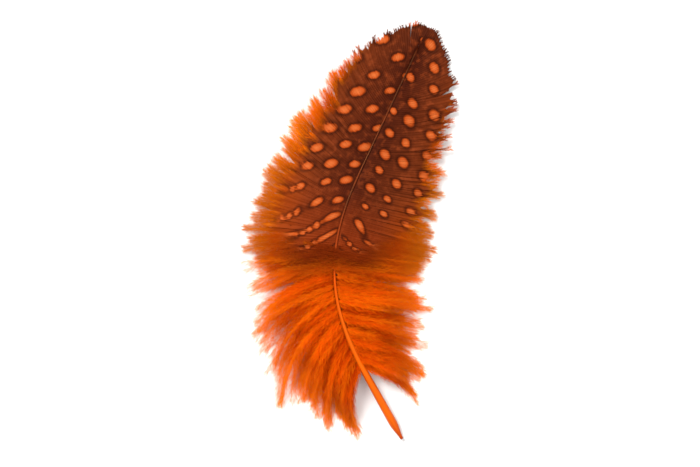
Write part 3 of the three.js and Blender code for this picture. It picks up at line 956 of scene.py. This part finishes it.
def vane_barbs():
    """Closed barbs, dark and silky, with dyed spots that a dark ring sets off; downy at the lower edges."""
    material, tree, shader = new_material("closed_barbs_silky")
    add = partial(add_node, tree)
    names = ("spot", "downy", "tone", "reach", "station")
    values = [add("Attribute", {}, "Fac", attribute_name=name) for name in names]
    spot, downy, tone, reach, station = values
    place_on = add("TexCoord", {}, "Object")

    # The ground: purple-brown by the shaft, redder outwards and towards the down, with cloudy flecks, and
    # orange-brown at the outer edge of the lower rows. Each spot has a dark ring, which is fainter there.
    outward = add("MapRange", {"Value": reach, **REDDER_REACHES})
    clouds = add("TexNoise", {"Vector": place_on, "Scale": 1 / (MOTTLE * MM), "Detail": 4.0})
    flecks = add("MapRange", {"Value": clouds, **FLECKED})
    darker = add("MapRange", {"Value": tone, "To Max": BARB_DARKENING})
    foot = add("MapRange", {"Value": station, **REDDER_STATIONS})
    low = add("MapRange", {"Value": station, **LOW_STATIONS})
    edge = add("MapRange", {"Value": reach, **EDGE_REACHES, "To Max": low})
    strength = add("MapRange", {"Value": edge, **RING_STRENGTHS})
    ring = add("MapRange", {"Value": spot, **RING_FIELD, "To Max": strength})
    tones = (
        (outward, "#8a3a16"),
        (flecks, "#9a4420"),
        (darker, "#5c2410"),
        (foot, "#963812"),
        (edge, "#aa440e"),
        (ring, "#3c140a"),
    )
    ground = colour("#481a10")
    for amount, code in tones:
        ground = add("Mix", {"Factor": amount, "A": ground, "B": colour(code)}, data_type="RGBA")

    # The spots, paler in their middles.
    paler = add("MapRange", {"Value": spot, **PALER_FIELD})
    spot_dye = add("Mix", {"Factor": paler, "A": colour("#c65018"), "B": colour("#da7036")}, data_type="RGBA")
    inside = add("MapRange", {"Value": spot, **DYED_FIELD})
    spotted = add("Mix", {"Factor": inside, "A": ground, "B": spot_dye}, data_type="RGBA")

    # The downy ends: red-brown near the shaft, orange further out, browner in the lower rows, and yellower
    # where thin, as a painted glow of light through them.
    dyed = add("Mix", {"Factor": tone, "A": colour("#d65402"), "B": colour("#f67c08")}, data_type="RGBA")
    further = add("MapRange", {"Value": reach, **DYED_REACHES})
    fluff = add("Mix", {"Factor": further, "A": colour("#8a3210"), "B": dyed}, data_type="RGBA")
    # painted glow of light through the thin outer ends, in yellow
    painted_glow = add("MapRange", {"Value": reach, **GLOW_REACHES})
    browner = add("MapRange", {"Value": low, "To Max": BROWNER})
    for amount, code in ((painted_glow, "#ffa418"), (browner, "#ae4610")):
        fluff = add("Mix", {"Factor": amount, "A": fluff, "B": colour(code)}, data_type="RGBA")
    opened = add("MapRange", {"Value": downy, **OPENED})
    shown = add("Mix", {"Factor": opened, "A": spotted, "B": fluff}, data_type="RGBA")

    # Lines of hooked barbules, which give the webs their silk.
    web_place = add("CombineXYZ", {"X": station, "Y": reach})
    bands = {"Vector": web_place, "Scale": WAVE_TURN / HOOKLET_PITCH, "Distortion": 1.0}
    lines = add("TexWave", bands, "Fac", bands_direction="DIAGONAL")
    finish = {
        "Base Color": shown,
        "Roughness": add("MapRange", {"Value": lines, "To Min": 0.45, "To Max": 0.65}),
        "Normal": add("Bump", {"Height": lines, "Strength": 0.3, "Distance": HOOKLET_RELIEF * MM}),
        "IOR": 1.55,
        "Specular IOR Level": 0.15,
        "Specular Tint": colour("#ff9a60"),
    }
    connect(tree, shader, finish)
    let_light_through(tree, shader, shown, BARB_THROUGH)
    return material


DYE_CLOUD = 3.0  # size of the patches in which the down took up more or less dye
PATCHED = {"From Min": 0.5, "From Max": 0.8, "To Max": 0.5}  # by the noise of those patches
SHADE_DEPTHS = {"From Min": 0.25, "From Max": 0.9}  # over which painted shade deepens the down's colours, lower in the pile
GLOW_SHARES = {"From Min": 0.55, "From Max": 1.0, "To Max": 0.9}  # of a barb, towards its tip, over which a painted glow of light through the thin ends yellows it
DOWN_THROUGH = 0.45  # share of the light that passes through the down


def dyed_down():
    """Loose orange down, matt and soft; painted shade reddens its lower layers and painted glow yellows its
    tips.
    """
    material, tree, shader = new_material("dyed_down_matt")
    add = partial(add_node, tree)
    names = ("tone", "depth", "share", "foot")
    tone, depth, share, foot = [add("Attribute", {}, "Fac", attribute_name=name) for name in names]
    place_on = add("TexCoord", {}, "Object")
    # Lit and shaded copies of the dye: painted shade makes the barbs lower in the pile deeper and redder.
    lit_dye = add("Mix", {"Factor": tone, "A": colour("#f26202"), "B": colour("#ff8e0c")}, data_type="RGBA")
    shaded_dye = add("Mix", {"Factor": tone, "A": colour("#c64202"), "B": colour("#e25804")}, data_type="RGBA")
    painted_depth_shade = add("MapRange", {"Value": depth, **SHADE_DEPTHS})
    shown = add("Mix", {"Factor": painted_depth_shade, "A": lit_dye, "B": shaded_dye}, data_type="RGBA")
    clouds = add("TexNoise", {"Vector": place_on, "Scale": 1 / (DYE_CLOUD * MM), "Detail": 3.0})
    patches = add("MapRange", {"Value": clouds, **PATCHED})
    # painted glow: the tips turn yellower, as where light passes through thin down
    painted_glow = add("MapRange", {"Value": share, **GLOW_SHARES})
    for amount, code in ((patches, "#c64004"), (painted_glow, "#ff9c12"), (foot, "#a03c10")):
        shown = add("Mix", {"Factor": amount, "A": shown, "B": colour(code)}, data_type="RGBA")
    finish = {
        "Base Color": shown,
        "Roughness": add("MapRange", {"Value": tone, "To Min": 0.4, "To Max": 0.6}),
        "IOR": 1.5,
        "Specular IOR Level": 0.3,
        "Specular Tint": colour("#ff8a1c"),
    }
    connect(tree, shader, finish)
    let_light_through(tree, shader, shown, DOWN_THROUGH)
    return material


keratin = quill_keratin()
barbs = vane_barbs()
down = dyed_down()
piece("feather_shaft", "shaft", keratin, shaft_mesh(), smooth=True)
piece("feather_vane_left", "vane_left", barbs, vane_mesh(LEFT_VANE))
piece("feather_vane_right", "vane_right", barbs, vane_mesh(RIGHT_VANE))
piece("feather_down_left", "down_left", down, downy_mesh(LEFT_DOWN, -1, SKIRT))
piece("feather_down_right", "down_right", down, downy_mesh(RIGHT_DOWN, 1, SKIRT))
both_sides = [downy_mesh(AFTERFEATHER, side, PLUME) for side in (-1, 1)]
piece("feather_afterfeather", "afterfeather", down, joined(both_sides))


# Table, light and camera, in metres
TABLE_SIZE = 2
TABLE_GAP = 0.02 * MM  # below the feather, so that no two faces lie in one plane
SKY_STRENGTH = 0.6


def table():
    """A plain table under white paper, pale and matt."""
    bpy.ops.mesh.primitive_plane_add(size=TABLE_SIZE, location=(0, 0, -TABLE_GAP))
    floor = bpy.context.object
    floor.name = "table"
    material, tree, shader = new_material("white_paper")
    connect(tree, shader, {"Base Color": colour("#f4f3f1"), "Roughness": 0.9})
    floor.data.materials.append(material)


def area_light(name, position, size, watts):
    lamp = bpy.data.lights.new(name, "AREA")
    lamp.shape = "DISK"
    lamp.size = size
    lamp.energy = watts
    made = bpy.data.objects.new(name, lamp)
    made.location = position
    made.rotation_mode = "QUATERNION"
    made.rotation_quaternion = (-made.location).to_track_quat("-Z", "Y")
    bpy.context.scene.collection.objects.link(made)


def studio():
    area_light("key", position=(-0.28, 0.32, 0.5), size=0.3, watts=4.6)
    area_light("fill", position=(0.4, -0.2, 0.5), size=0.6, watts=1.8)
    world = bpy.data.worlds.new("studio")
    world.use_nodes = True
    sky = {"Color": colour("#ffffff"), "Strength": SKY_STRENGTH}
    connect(world.node_tree, world.node_tree.nodes["Background"], sky)
    bpy.context.scene.world = world
    bpy.context.scene.view_settings.view_transform = "Standard"


LENS = 100  # millimetres, as the sensor
SENSOR = 36
CLIP_START = 0.01
FRAME_ASPECT = 700 / 467
FEATHER_SHARE = 0.9  # of the frame's height


def camera():
    """Looks straight down on the feather's middle."""
    low, high = cad_box
    lens = bpy.data.cameras.new("camera")
    lens.lens = LENS
    lens.sensor_width = SENSOR
    lens.clip_start = CLIP_START
    shown_width = (high.y - low.y) / FEATHER_SHARE * FRAME_ASPECT
    made = bpy.data.objects.new("camera", lens)
    made.location = ((low.x + high.x) / 2, (low.y + high.y) / 2, shown_width * LENS / SENSOR)
    bpy.context.scene.collection.objects.link(made)
    bpy.context.scene.camera = made


table()
studio()
camera()
